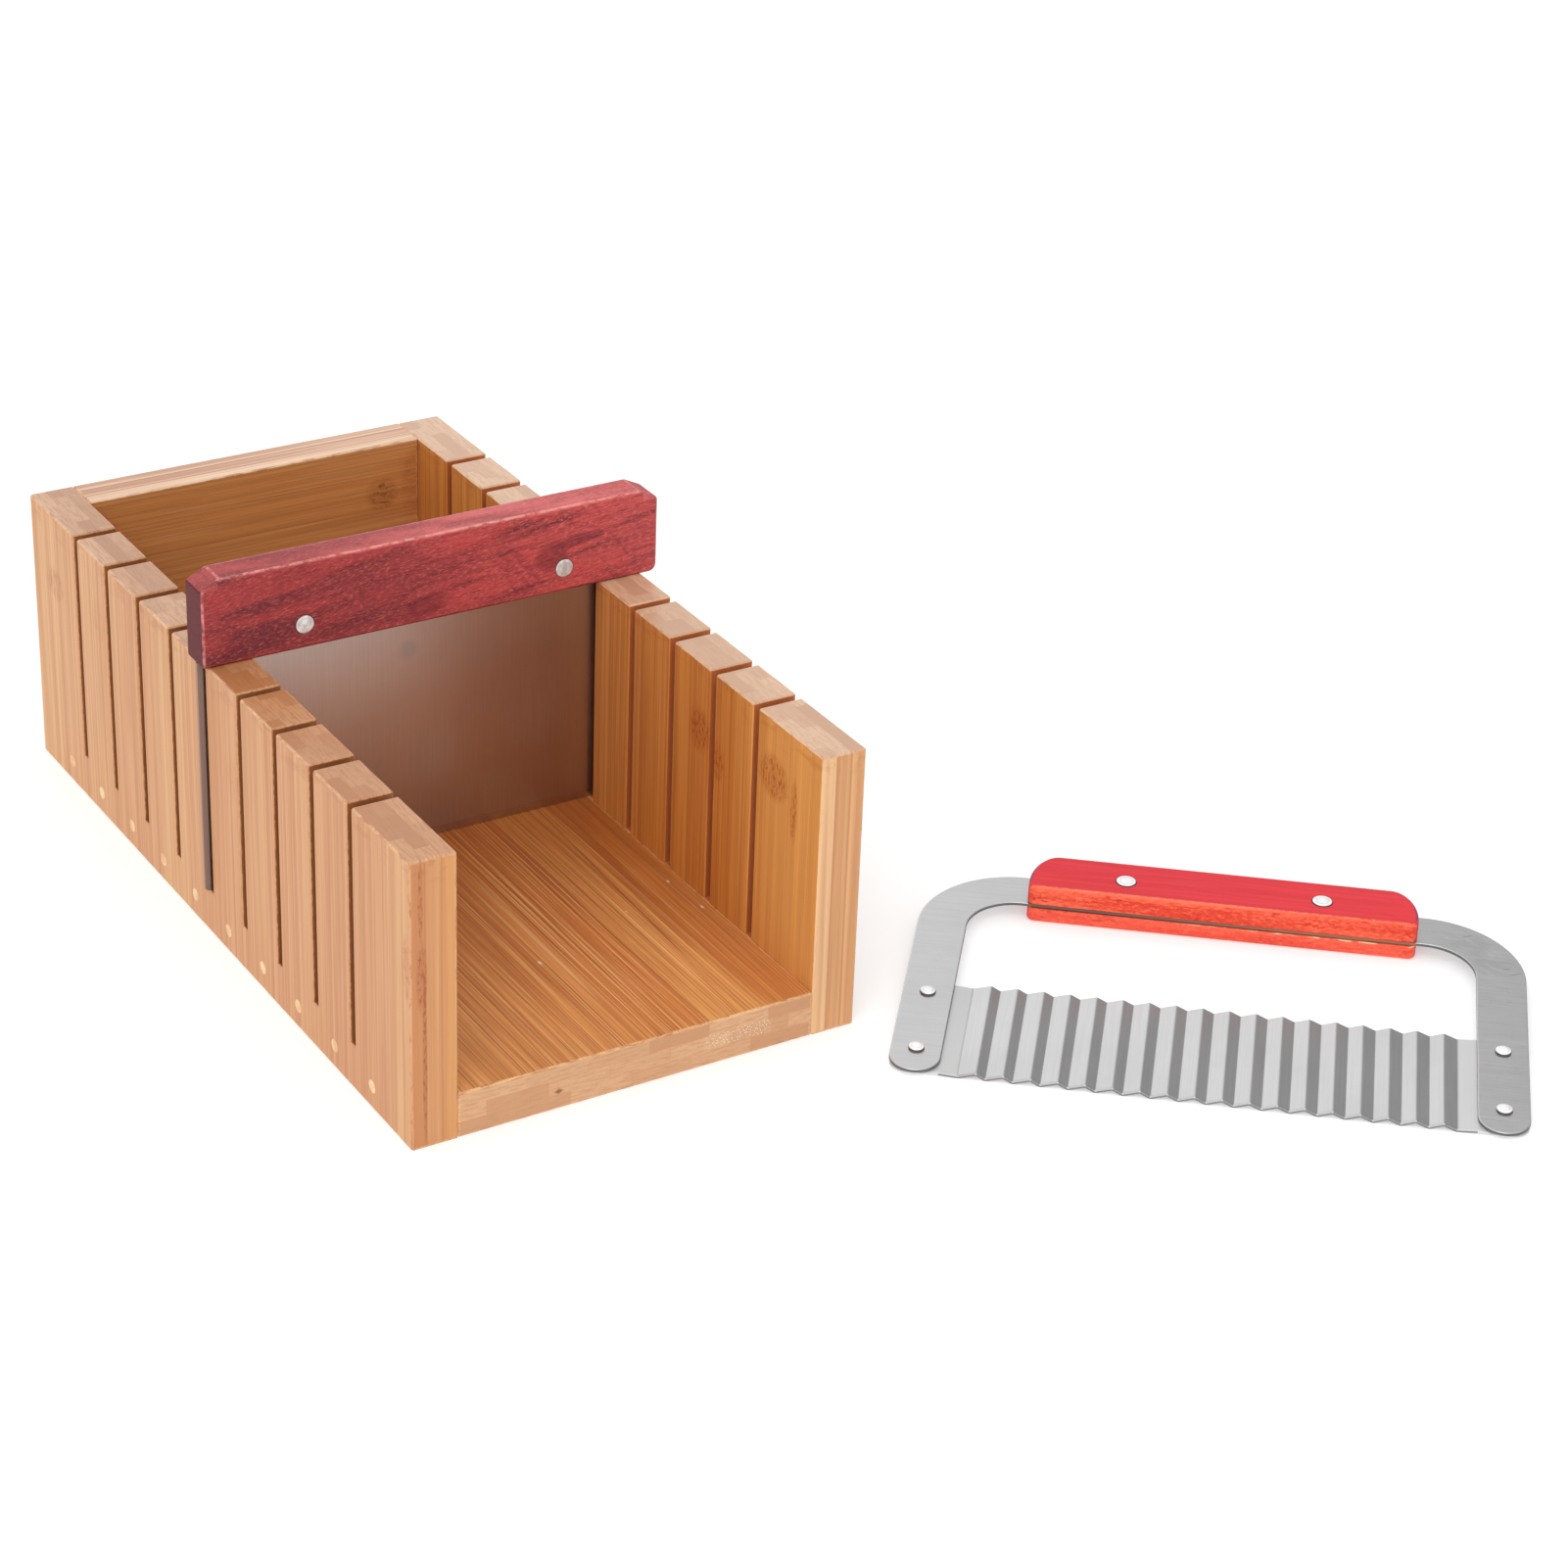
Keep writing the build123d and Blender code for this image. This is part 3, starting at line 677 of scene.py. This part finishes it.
# %% The steel recipe
def steel(name, tone, rough, marks_and_painted_light, place=None, turn=None, brushed="x", relief=1.0):
    """Brushed steel. marks_and_painted_light is a function of x, y and z that gives patches of dull
    metal, marks, and painted light or shade: their share and their colour. relief tells how much
    the scratches show."""
    material, tree, shader = new_finish(name)
    point = in_millimetres(tree, place, turn)
    long, short = 0.03, 2.4
    scratches = noise(*(value * (long if axis == brushed else short) for axis, value in zip("xyz", point)),
                      detail=4.0, roughness=0.7)
    clouds = noise(*point, scale=0.035)
    smudge = noise(*point, scale=0.22, detail=4.0, roughness=0.6)
    share, patch_colour = marks_and_painted_light(*point)
    scratched, clouded = [(*(v * part for v in linear(tone)), 1) for part in (0.9, 0.82)]
    grey = coat(mix(scratches.step(0.3, 0.7), scratched, tone),
                (clouds.step(0.4, 0.7) * 0.3, clouded), (share, patch_colour))
    roughness = rough + ((scratches - 0.5) * 0.14 + (smudge - 0.5) * 0.12) * relief + share * 0.25
    fill(shader, Base_Color=grey, Metallic=1 - share * 0.75, Roughness=roughness,
         Normal=bump(scratches, 0.006, 0.2 * relief))
    return material


# %% Finish the straight blade
def slot_shade_and_marks(x, y, z):
    """Brownish grey on the ends that sit in the slots, a painted shade and reflection of the wood there, and
    a few thumb marks on its face.
    """
    # The ends in the slots are painted brownish grey: painted shade and a painted reflection of the wood
    # around them.
    ends = abs(x + 0.5).step(74.2, 74.6)
    marks = noise(x, y, z, scale=0.09, roughness=0.6).step(0.58, 0.74) * 0.08
    for mark_x, mark_z, size, depth in (
            (-5.4, 83.5, 5.0, 0.2), (2.0, 45.0, 14.0, 0.07), (38.0, 50.0, 16.0, 0.05)):
        marks = marks | hypotenuse(x - mark_x, z - mark_z).step(size, size * 0.3) * depth
    return ends | marks, mix(ends, (96, 70, 62), (150, 124, 112))


blade_finish = steel("plain_blade_steel", (191, 178, 173), 0.32, slot_shade_and_marks, brushed="z", relief=0.15)
dress("straight_blade", blade_finish)

# %% [markdown]
# ## The straight cutter's rivets
# Two bright rivets go through bar and blade. They were set flush and polished with the wood,
# so each is a disc with a faint ring where its hollow end was spread.

# %% Finish and set the flush rivets
def rivet_metal(name, bright, hazy, metallic):
    """A worn rivet face: faint haze, a thin ring, and a dark line at its rim, partly the joint with its seat
    and partly painted shade.
    """
    material, tree, shader = new_finish(name)
    out = out_share(tree)
    haze = noise(*in_millimetres(tree), scale=0.5, detail=2.0)
    ring = out.step(0.5, 0.58) * out.step(0.72, 0.64)
    # The dark line at the rim is partly the joint with the seat and partly painted shade where the head turns
    # down.
    grey = coat(mix(haze.step(0.35, 0.65), bright, hazy), (ring * 0.4, (196, 194, 194)),
                (out.step(0.92, 0.975), (92, 78, 80)))
    fill(shader, Base_Color=grey, Metallic=metallic, Roughness=0.38 + haze * 0.08,
         Normal=bump(ring * 0.6, 0.04, 0.5))
    return material


bar_rivets = rivet_metal("rivets_in_the_bar", (244, 244, 244), (206, 202, 200), 0.6)
# The wavy cutter's rivets are painted near white and made mostly not metallic: a painted reflection of bright
# studio light.
rivets_with_painted_sheen = rivet_metal("rivets_of_the_wavy_cutter", (252, 252, 252), (240, 240, 240), 0.3)
rivet_reach, rivet_level = 44.9, 103.2
faces = [(Vector((bar_middle + end * rivet_reach, blade_middle + way * bar_half, rivet_level)) * mm,
          Vector((0, way, 0))) for end in (-1, 1) for way in (-1, 1)]
set_heads("straight_rivets", faces, "straight_cutter",
          ["straight_rivet_left", "straight_rivet_right"], bar_rivets,
          radius=3.15, rise=0.3, sink=1.5, roundness=0.45)

# %% [markdown]
# ## Where the wavy cutter lies
# The wavy cutter rests on the table, turned and a little tilted: it lies on the foot of its
# corrugated blade and on the edge of its handle. Its pieces are drawn flat, with u from leg
# to leg and v from the legs' ends to the handle, and one matrix lays all of them down.

# %% The lying matrix
bow_width, bow_height, bow_strip, bow_thickness, bow_bend = 191.6, 115.0, 15.6, 1.2, 32.0
wave_pitch, wave_count, wave_depth, fold_radius = 8.25, 18, 1.6, 0.9
left_lean, right_lean = 0.66, 0.5
sheet_thickness, sheet_foot, sheet_height, sheet_corner = 0.7, 1.3, 48.2, 5.0
sheet_inset, tab_rise, bevel_width, ground_edge = 0.3, 0.45, 1.05, 0.15
grip_lower, grip_bottom, grip_easing = 6.0, 98.9, 1.0
wavy_place, wavy_turn = Vector((142.6, -229.8, 0)), radians(-39.4)
valley_level = -bow_thickness / 2 - sheet_thickness / 2 - tab_rise
valley_underside = valley_level - sheet_thickness / 2
wavy_tilt = -atan2(-grip_lower - valley_underside, grip_bottom + grip_easing - sheet_foot)
wavy_place.z = -sheet_foot * sin(wavy_tilt) - valley_underside * cos(wavy_tilt)
lying = Matrix.Translation(wavy_place * mm) @ Matrix.Rotation(wavy_turn, 4, "Z") \
    @ Matrix.Rotation(wavy_tilt, 4, "X")
wavy_axes = {"place": tuple(wavy_place * mm), "turn": (wavy_tilt, 0, wavy_turn)}
print("tilt", round(wavy_tilt * 180 / pi, 3), "degrees, height", round(wavy_place.z, 3), "mm")


def lay_down(piece):
    """Places a flat-drawn piece on the table. Its object stays at the origin."""
    piece.data.transform(lying)
    piece.data.update()


def compare(piece, node):
    """Prints how far a piece's box is from the box of the CAD node that it stands for, in mm."""
    points = [vertex.co for vertex in piece.data.vertices]
    corners = [extreme(p[a] for p in points) for extreme in (min, max) for a in range(3)]
    cad_corners = (*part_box(node)[0], *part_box(node)[1])
    print(piece.name, "off by", [round((a - b) / mm, 3) for a, b in zip(corners, cad_corners)])


# %% [markdown]
# ## The bow
# The bow is one flat strip, cut from sheet with two round bends and round leg ends, and its
# edges were tumbled smooth. It is drawn as an outline, thickened and given small round edges
# that catch the light. Its sawn sides are painted dark grey, a painted shade.


# %% Draw the bow
def arc(centre, radius, start, end, steps):
    """Points on an arc, in degrees, both ends included."""
    turns = [radians(start + (end - start) * n / steps) for n in range(steps + 1)]
    return [(centre[0] + radius * cos(turn), centre[1] + radius * sin(turn)) for turn in turns]


outer, bend_centre = bow_width / 2, (bow_width / 2 - bow_bend, bow_height - bow_bend)
leg_middle = outer - bow_strip / 2
right_half = arc(bend_centre, bow_bend, 90, 0, 28)
right_half += arc((leg_middle, bow_strip / 2), bow_strip / 2, 0, -180, 24)
right_half += arc(bend_centre, bow_bend - bow_strip, 0, 90, 20)
outline = right_half + [(-u, v) for u, v in reversed(right_half)]
work = bmesh.new()
lower_face = work.faces.new([work.verts.new((u * mm, v * mm, -bow_thickness / 2 * mm)) for u, v in outline])
raised = bmesh.ops.extrude_face_region(work, geom=[lower_face])
bmesh.ops.translate(work, vec=(0, 0, bow_thickness * mm),
                    verts=[item for item in raised["geom"] if isinstance(item, bmesh.types.BMVert)])
bmesh.ops.recalc_face_normals(work, faces=work.faces)
bow_mesh = bpy.data.meshes.new("bow")
work.to_mesh(bow_mesh)
work.free()


def edge_shade_kerf_and_scratches(u, v, w):
    """Dark grey on the sawn edges as painted shade, dull grey in scratches, and brown inside the handle's
    kerf: wood dust and painted shade.
    """
    # The sawn sides are painted dark grey: painted shade for the gap under the bow.
    edge = abs(w).step(bow_thickness / 2 - 0.06, bow_thickness / 2 - 0.22)
    # Inside the handle's kerf: brown for wood dust and painted shade.
    in_kerf = v.step(98.0, 98.8) * v.step(100.4, 99.9) * abs(u + 0.4).step(62.0, 61.4)
    brown = mix(u.step(-45.0, 35.0), (112, 88, 78), (156, 104, 76))
    rubbed = noise(u * 0.1 - v * 0.06, u * 0.25 + v * 0.4, w).step(0.4, 0.62)
    scratch = hypotenuse(u - 82.0, v - 97.0).step(20.0, 6.0) * rubbed * 0.3
    for mark_u, mark_v, half_run in ((92.4, 87.0, 3.0), (77.5, 106.5, 2.6), (89.5, 89.5, 1.8)):
        beside = abs(v - mark_v - (u - mark_u) * 0.35)
        across = abs(u - mark_u).step(half_run, half_run * 0.3) * beside.step(0.45, 0.1)
        scratch = scratch | across * 0.6
    return edge * 0.95 | in_kerf | scratch, mix(in_kerf, (86, 86, 88), brown)


bow_finish = steel("bow_steel", (212, 212, 212), 0.3, edge_shade_kerf_and_scratches, **wavy_axes)
bow = new_piece("bow", bow_mesh, bow_finish)
lay_down(round_edges(bow, 0.3, 60))
compare(bow, "wavy_frame")
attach(bow, "wavy_cutter")
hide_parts("wavy_frame")

# %% [markdown]
# ## The corrugated blade
# The blade was ground along one edge while it was flat, and then folded into eighteen waves.
# Its crests lean: each one rises over two thirds of its pitch at the left end, and over half
# of it at the right end, as a worn folding tool gives. It follows a rule, so a tree makes it:
# a line of points for tabs, valleys and crests, a fillet at every fold, and then a grid whose
# stations follow that line and whose columns go once round the sheet's section, from the thin
# ground edge to the far side and back. A station more at each end closes the sheet.

# %% The corrugated sheet's finish and sizes
def edge_shade_and_tab_light(u, v, w):
    """A thin dark line on the ground edge as painted shade, dull cut sides, and flat tabs painted a dull
    white as painted light.
    """
    # Painted shade: a thin dark line along the ground edge.
    painted_edge_shade = v.step(sheet_foot + 0.5, sheet_foot + 0.25) * (abs(u) < bow_width / 2 - bow_strip)
    cut = painted_edge_shade | v.step(sheet_foot + sheet_height - 0.12, sheet_foot + sheet_height - 0.04)
    # Painted light: the flat tabs are made a paler, less metallic white.
    painted_tab_light = abs(u).step(wave_count * wave_pitch / 2 + 0.2, wave_count * wave_pitch / 2 + 0.7)
    return painted_tab_light * 0.55 | cut * 0.9, mix(cut, (222, 222, 222), (114, 110, 110))


sheet_finish = steel("wavy_blade_steel", (206, 206, 206), 0.32, edge_shade_and_tab_light, **wavy_axes, brushed="y")
lengths = {
    "Pitch": wave_pitch, "Depth": wave_depth, "Fold radius": fold_radius, "Tab rise": tab_rise,
    "Tab end": bow_width / 2 - sheet_inset, "Tab fold": bow_width / 2 - bow_strip, "Corner": sheet_corner,
    "Foot": sheet_foot, "Height": sheet_height, "Thickness": sheet_thickness, "Bevel": bevel_width,
    "Land": ground_edge}
sheet_values = {title: length * mm for title, length in lengths.items()}
sheet_values.update({"Waves": wave_count, "Left lean": left_lean, "Right lean": right_lean,
                     "Material": sheet_finish})

# %% The corrugated sheet's tree
sheet_tree, given = geometry_tree("corrugated_sheet", {name: type(v) for name, v in sheet_values.items()})
node = partial(add_node, sheet_tree)
corner_points = 8
index = node("GeometryNodeInputIndex")
last = given["Waves"] * 2 + (2 * corner_points + 2)
from_end = index & (last - index)
side = (index > last / 2) * 2 - 1
quarter = (from_end / (corner_points - 1) & 1.0) * (pi / 2)
corner_u = given["Tab end"] - given["Corner"] * (1 - quarter.math("COSINE"))
in_corner = from_end < corner_points - 0.5
tab_u = (corner_u * in_corner + given["Tab fold"] * (1 - in_corner)) * side
fold = index - (corner_points + 1)
wave = (fold / 2).math("FLOOR")
crest = fold - wave * 2
lean = given["Left lean"] + (given["Right lean"] - given["Left lean"]) * ((wave + 0.5) / given["Waves"])
wave_u = (wave + crest * lean - given["Waves"] / 2) * given["Pitch"]
on_tab = from_end < corner_points + 0.5
line = node("GeometryNodeMeshLine", None, {"Count": last + 1})
line = node("GeometryNodeSetPosition", None, {"Geometry": line, "Position": vector(
    tab_u * on_tab + wave_u * (1 - on_tab), 0.0,
    given["Tab rise"] * on_tab + given["Depth"] * crest * (1 - on_tab))})
curve = node("GeometryNodeMeshToCurve", None, {"Mesh": line})
curve = node("GeometryNodeFilletCurve", {"mode": "POLY"},
             {"Curve": curve, "Count": 6, "Radius": given["Fold radius"], "Limit Radius": True})
path = node("GeometryNodeCurveToMesh", None, {"Curve": curve})
path = node("GeometryNodeMergeByDistance", None, {"Geometry": path, "Distance": 2e-6})
path_count = node("GeometryNodeAttributeDomainSize", None, {"Geometry": path}, "Point Count")

columns = 7
grid = node("GeometryNodeMeshGrid", None, {"Vertices X": path_count + 2, "Vertices Y": columns})
index = node("GeometryNodeInputIndex")
row = (index / columns).math("FLOOR")
column = index - row * columns
position = node("GeometryNodeInputPosition")


def path_point(shift):
    """The path's point at this row, or a neighbour of it, as u and the height above the valleys."""
    at = ((row - 1).between(0.0, path_count - 1) + shift).between(0.0, path_count - 1)
    point = node("GeometryNodeSampleIndex", {"data_type": "FLOAT_VECTOR", "domain": "POINT"},
                 {"Geometry": path, "Value": position, "Index": at})
    u, _, w = parts(point)
    return u, w


here_u, here_w = path_point(0)
before_u, before_w = path_point(-1)
after_u, after_w = path_point(1)
run, climb = after_u - before_u, after_w - before_w
length = hypotenuse(run, climb)
is_end = (row < 0.5) | (row > path_count + 0.5)
rank = abs(column - 2.5)
level = (column > 2.5) * 2 - 1
ground = (column > 4.5) * (column < 5.5)
level = level * (1 - ground) * (column < 5.5) \
    + ground * (given["Land"] / given["Thickness"] * 2 - 1) - (column > 5.5)
offset = level * given["Thickness"] / 2 * (1 - is_end)
past_corner = (abs(here_u) - (given["Tab end"] - given["Corner"])) | 0.0
rounded = given["Corner"] \
    - (given["Corner"] * given["Corner"] - past_corner * past_corner | 0.0).math("SQRT")
foot_v = given["Foot"] + rounded + given["Bevel"] * (rank > 1.0) * (rank < 2.0)
along_v = foot_v * (rank > 1.0) + (given["Foot"] + given["Height"]) * (rank < 1.0)
shaped = node("GeometryNodeSetPosition", None, {"Geometry": grid, "Position": vector(
    here_u - climb / length * offset, along_v, here_w + run / length * offset)})
closed = node("GeometryNodeMergeByDistance", None, {"Geometry": shaped, "Distance": 2e-6})
flipped = node("GeometryNodeFlipFaces", None, {"Mesh": closed})
end_tree(sheet_tree, flipped, given["Material"])
print("sheet tree nodes:", len(sheet_tree.nodes))

# %% Grow the corrugated blade
sheet = grow("corrugated_blade", sheet_tree, bpy.data.meshes.new("seed"), sheet_values)
sheet.data.transform(Matrix.Translation((0, 0, valley_level * mm)))
lay_down(sheet)
compare(sheet, "wavy_blade")
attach(sheet, "wavy_cutter")
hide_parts("wavy_blade")

# %% [markdown]
# ## The wavy cutter's handle
# This one is a brighter red: an even stain on its flat top, orange on the sides, and a brown
# saw kerf along its front that takes the bow, painted brown for sawn wood and painted shade. Its
# far edges keep a thin purple line.

# %% Finish the red handle
grip_shift, grip_upper = -0.4, 7.4
grip_finish, tree, shader = new_finish("bright_red_wood")
u, v, w = in_millimetres(tree, **wavy_axes)
streak = noise(u * 0.02, v * 0.7, w * 0.5, scale=0.8, detail=4.0, roughness=0.6)
fleck = noise(u * 0.5, v * 1.4, w * 1.4, scale=1.1, roughness=0.65)
broad = noise(u * 0.02, v * 0.08, w * 0.1, detail=2.0)
spots = noise(u * 0.12, v * 0.5, w * 0.5, scale=0.6, detail=2.0).step(0.5, 0.62)
crumbs = noise(u * 0.3, v, w, scale=0.7).step(0.45, 0.6)
orange = coat(mix(streak.step(0.36, 0.62), (218, 66, 44), (240, 97, 68)),
              (fleck.step(0.5, 0.62) * (0.35 + spots * 0.45), (184, 34, 26)),
              (fleck.step(0.46, 0.36) * 0.4, (246, 132, 100)),
              ((w < -bow_thickness / 2) * 0.35, (238, 96, 78)))
front = v.step(grip_bottom + 1.3, grip_bottom + 0.8)
front_edge = v.step(grip_bottom + 0.2, grip_bottom + 0.7) * v.step(grip_bottom + 1.5, grip_bottom + 0.9)
front_edge = front_edge * abs(w - 0.7).step(5.5, 6.1)
lip_side = abs(w + bow_thickness / 2 + 0.3).step(0.3, 0.1) * front
far_line = w.step(grip_upper - 0.02, grip_upper - 0.14) * w.step(grip_upper - 1.7, grip_upper - 0.9)
# The kerf is painted brown: sawn wood, and painted shade in the narrow cut.
kerf = abs(w).step(bow_thickness / 2 + 0.22, bow_thickness / 2 + 0.1)
red = coat(mix(streak.step(0.36, 0.64), (208, 52, 61), (221, 60, 69)),
           (broad.step(0.35, 0.65) * 0.5, (226, 62, 66)),
           (fleck.step(0.6, 0.76) * 0.25, (176, 38, 54)),
           (front, orange),
           (front_edge * fleck.step(0.4, 0.55) * 0.5, (252, 150, 116)),
           (lip_side * crumbs * u.step(-25.0, 15.0) * 0.8, (244, 204, 160)),
           (far_line * v.step(grip_bottom + 2.5, grip_bottom + 4.0) * 0.8, (138, 58, 100)),
           (kerf, mix(u.step(-40.0, 40.0), (108, 78, 66), (150, 98, 72))))
fill(shader, Base_Color=red, Roughness=0.5 + fleck * 0.15, Specular_IOR_Level=0.2,
     Normal=bump(fleck * 0.5 + streak * 0.5, 0.1, 0.35))
softened("wavy_handle", "red_grip", grip_finish, 0.5, "wavy_cutter")

# %% Set the wavy cutter's rivets
up = lying.to_3x3() @ Vector((0, 0, 1))
grip_rivet_reach, grip_rivet_line = 31.3, bow_height - bow_strip / 2 + 0.6
leg_rivet_places, under_legs = (11.8, 42.8), -bow_thickness / 2 - sheet_thickness
grip_places = [(grip_shift + end * grip_rivet_reach, grip_rivet_line) for end in (-1, 1)]
leg_places = [(end * leg_middle, v) for end in (-1, 1) for v in leg_rivet_places]
leg_nodes = [f"wavy_blade_rivet_{side}_{end}" for side in ("left", "right") for end in ("lower", "upper")]
grip_nodes = ["wavy_handle_rivet_left", "wavy_handle_rivet_right"]
for name, places, level, facing, nodes, radius, rise, sink, roundness in (
        ("grip_rivets", grip_places, grip_upper, up, grip_nodes, 3.25, 0.3, 1.4, 0.45),
        ("grip_rivet_tails", grip_places, -grip_lower, -up, grip_nodes, 3.25, 0.14, 1.4, 0.6),
        ("leg_rivets", leg_places, bow_thickness / 2, up, leg_nodes, 2.5, 1.2, 1.2, 0.5),
        ("leg_rivet_tails", leg_places, under_legs, -up, leg_nodes, 2.5, 0.5, 0.5, 1.0)):
    points = [(lying @ (Vector((u, v, level)) * mm), facing) for u, v in places]
    set_heads(name, points, "wavy_cutter", nodes, rivets_with_painted_sheen, radius, rise, sink, roundness)

# %% [markdown]
# ## Stage and light
# The set stands on a plain white floor. The sky is a soft studio: white on the left and
# behind, and darker on the right, which is what gives the steel its light and dark sides.
# One large lamp from the front left adds a little direction.

# %% Floor, sky and lamp
floor_mesh = bpy.data.meshes.new("stage_floor")
reach = 6.0
corners = [(-reach, -reach, 0), (reach, -reach, 0), (reach, reach, 0), (-reach, reach, 0)]
floor_mesh.from_pydata(corners, [], [(0, 1, 2, 3)])
stage_finish, tree, shader = new_finish("stage_white")
fill(shader, Base_Color=(0.74, 0.74, 0.74, 1), Roughness=0.9, Specular_IOR_Level=0.0,
     Emission_Color=(1, 1, 1, 1), Emission_Strength=0.32)
stage_floor = new_piece("stage_floor", floor_mesh, stage_finish)

world = bpy.data.worlds.new("soft_studio")
world.use_nodes = True
bpy.context.scene.world = world
tree = world.node_tree
sky = next(n for n in tree.nodes if n.type == "BACKGROUND")
way = add_node(tree, "ShaderNodeTexCoord", output="Generated")
east, north, _ = parts(way)
dim = east.step(0.44, 0.63)
glow = north.step(0.76, 0.95)
plain = mix(dim, (0.92, 0.92, 0.92, 1), (0.36, 0.36, 0.36, 1))
bright = mix(dim, (1.2, 1.2, 1.2, 1), (0.4, 0.4, 0.4, 1))
fill(sky, Color=mix(glow, plain, bright), Strength=1.15)

lamp_data = bpy.data.lights.new("front_left_lamp", "AREA")
lamp_data.energy, lamp_data.size = 16.0, 1.4
lamp = bpy.data.objects.new("front_left_lamp", lamp_data)
lamp.location = (-0.9, -1.3, 1.7)
lamp.rotation_euler = (Vector((0.05, -0.1, 0.05)) - lamp.location).to_track_quat("-Z", "Y").to_euler()
bpy.context.collection.objects.link(lamp)
bpy.context.scene.view_settings.view_transform = "Standard"
